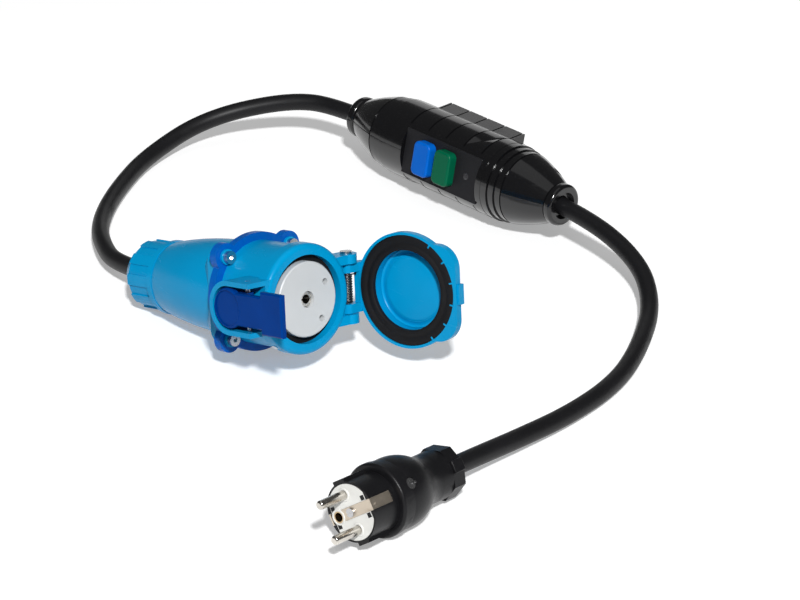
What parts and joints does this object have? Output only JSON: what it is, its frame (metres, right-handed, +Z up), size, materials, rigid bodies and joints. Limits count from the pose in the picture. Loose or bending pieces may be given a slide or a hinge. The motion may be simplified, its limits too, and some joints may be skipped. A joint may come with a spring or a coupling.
{
  "type": "rcd adapter plug",
  "caption": "Adapter lead: a blue shuttered coupler with a hinged lid and latch, a black in-line leakage-trip box with push buttons, and a black round-pin plug, joined by rubber cable.",
  "frame": {"origin": "middle of the narrow foot under the box's ridge, on the table", "axes": "+X along the box towards its plug-side cable, +Z up, +Y towards the box's back; the coupler and the plug lie in front, towards -Y"},
  "size_m": [0.4432, 0.378, 0.0794],
  "materials": {
    "blue_plastic": "smooth gloss",
    "blue_gasket": "soft satin",
    "latch_blue": "smooth gloss",
    "grey_disc": "fine satin",
    "black_seal": "matte",
    "black_gloss": "high gloss",
    "panel_grey": "matte",
    "button_blue": "satin",
    "button_green": "satin",
    "indicator_clear": "clear",
    "cable_rubber": "matte",
    "plug_rubber": "satin",
    "white_plastic": "satin",
    "nickel": "bright plated",
    "brass": "plain",
    "steel": "bright zinc",
    "spring_steel": "dark",
    "earth_strip": "plated",
    "board_green": "satin",
    "relay_case": "matte"
  },
  "bodies": {
    "assembly": {"coupler_front_housing": "blue_plastic", "coupler_drain_stud": "steel", "coupler_flange_gasket": "blue_gasket", "coupler_flange_screws": "steel", "coupler_handle": "blue_plastic", "coupler_gland_nut": "blue_plastic", "coupler_gland_seal": "black_seal", "coupler_mouth_seal": "black_seal", "contact_carrier": "white_plastic", "earth_contact": "nickel", "line_contact": "brass", "neutral_contact": "brass", "contact_springs": "spring_steel", "latch_pin": "steel", "latch_spring": "spring_steel", "hinge_pin": "steel", "hinge_spring": "spring_steel", "box_upper_shell": "black_gloss", "box_lower_shell": "black_gloss", "box_panel": "panel_grey", "test_button_spring": "spring_steel", "reset_button_spring": "spring_steel", "indicator_light": "indicator_clear", "circuit_board": "board_green", "current_transformer": "relay_case", "trip_relay": "relay_case", "left_terminal_block": "brass", "right_terminal_block": "brass", "left_end_ring": "black_gloss", "right_end_ring": "black_gloss", "left_cable_clamp": "black_seal", "right_cable_clamp": "black_seal", "casing_screws": "steel", "plug_sleeve": "plug_rubber", "plug_face": "white_plastic", "line_pin": "nickel", "neutral_pin": "nickel", "plug_earth_tube": "brass", "plug_earth_bridge": "earth_strip", "plug_earth_strip": "earth_strip", "plug_face_screw": "steel", "plug_body": "plug_rubber", "plug_body_screw": "steel", "plug_clamp_nut": "plug_rubber", "plug_clamp_seal": "black_seal", "coupler_cord": "cable_rubber", "plug_cord": "cable_rubber"},
    "lid": {"lid": "blue_plastic", "lid_gasket": "black_seal"},
    "latch": {"latch": "latch_blue"},
    "shutter": {"shutter_disc": "grey_disc"},
    "test_button": {"test_button": "button_blue"},
    "reset_button": {"reset_button": "button_green"}
  },
  "joints": [
    {"name": "lid_hinge", "type": "hinge", "parent": "assembly", "child": "lid", "pos_m": [0.09175, -0.19608, 0.04179], "axis": [-0.2219, 0.165, 0.961], "range_deg": [-102, 0]},
    {"name": "latch_pivot", "type": "hinge", "parent": "assembly", "child": "latch", "pos_m": [0.08718, -0.26571, 0.05269], "axis": [0.2219, -0.165, -0.961], "range_deg": [-4, 10]},
    {"name": "shutter_turn", "type": "hinge", "parent": "assembly", "child": "shutter", "pos_m": [0.09045, -0.2306, 0.04742], "axis": [0.9744, 0, 0.225], "range_deg": [0, 30]},
    {"name": "test_press", "type": "slide", "parent": "assembly", "child": "test_button", "axis": [0.0341, 0.9776, -0.2079], "range_m": [0, 0.0025], "stiffness_N_per_m": 400, "springref_m": -0.001},
    {"name": "reset_press", "type": "slide", "parent": "assembly", "child": "reset_button", "axis": [0.0341, 0.9776, -0.2079], "range_m": [0, 0.0025], "stiffness_N_per_m": 400, "springref_m": -0.001}
  ]
}
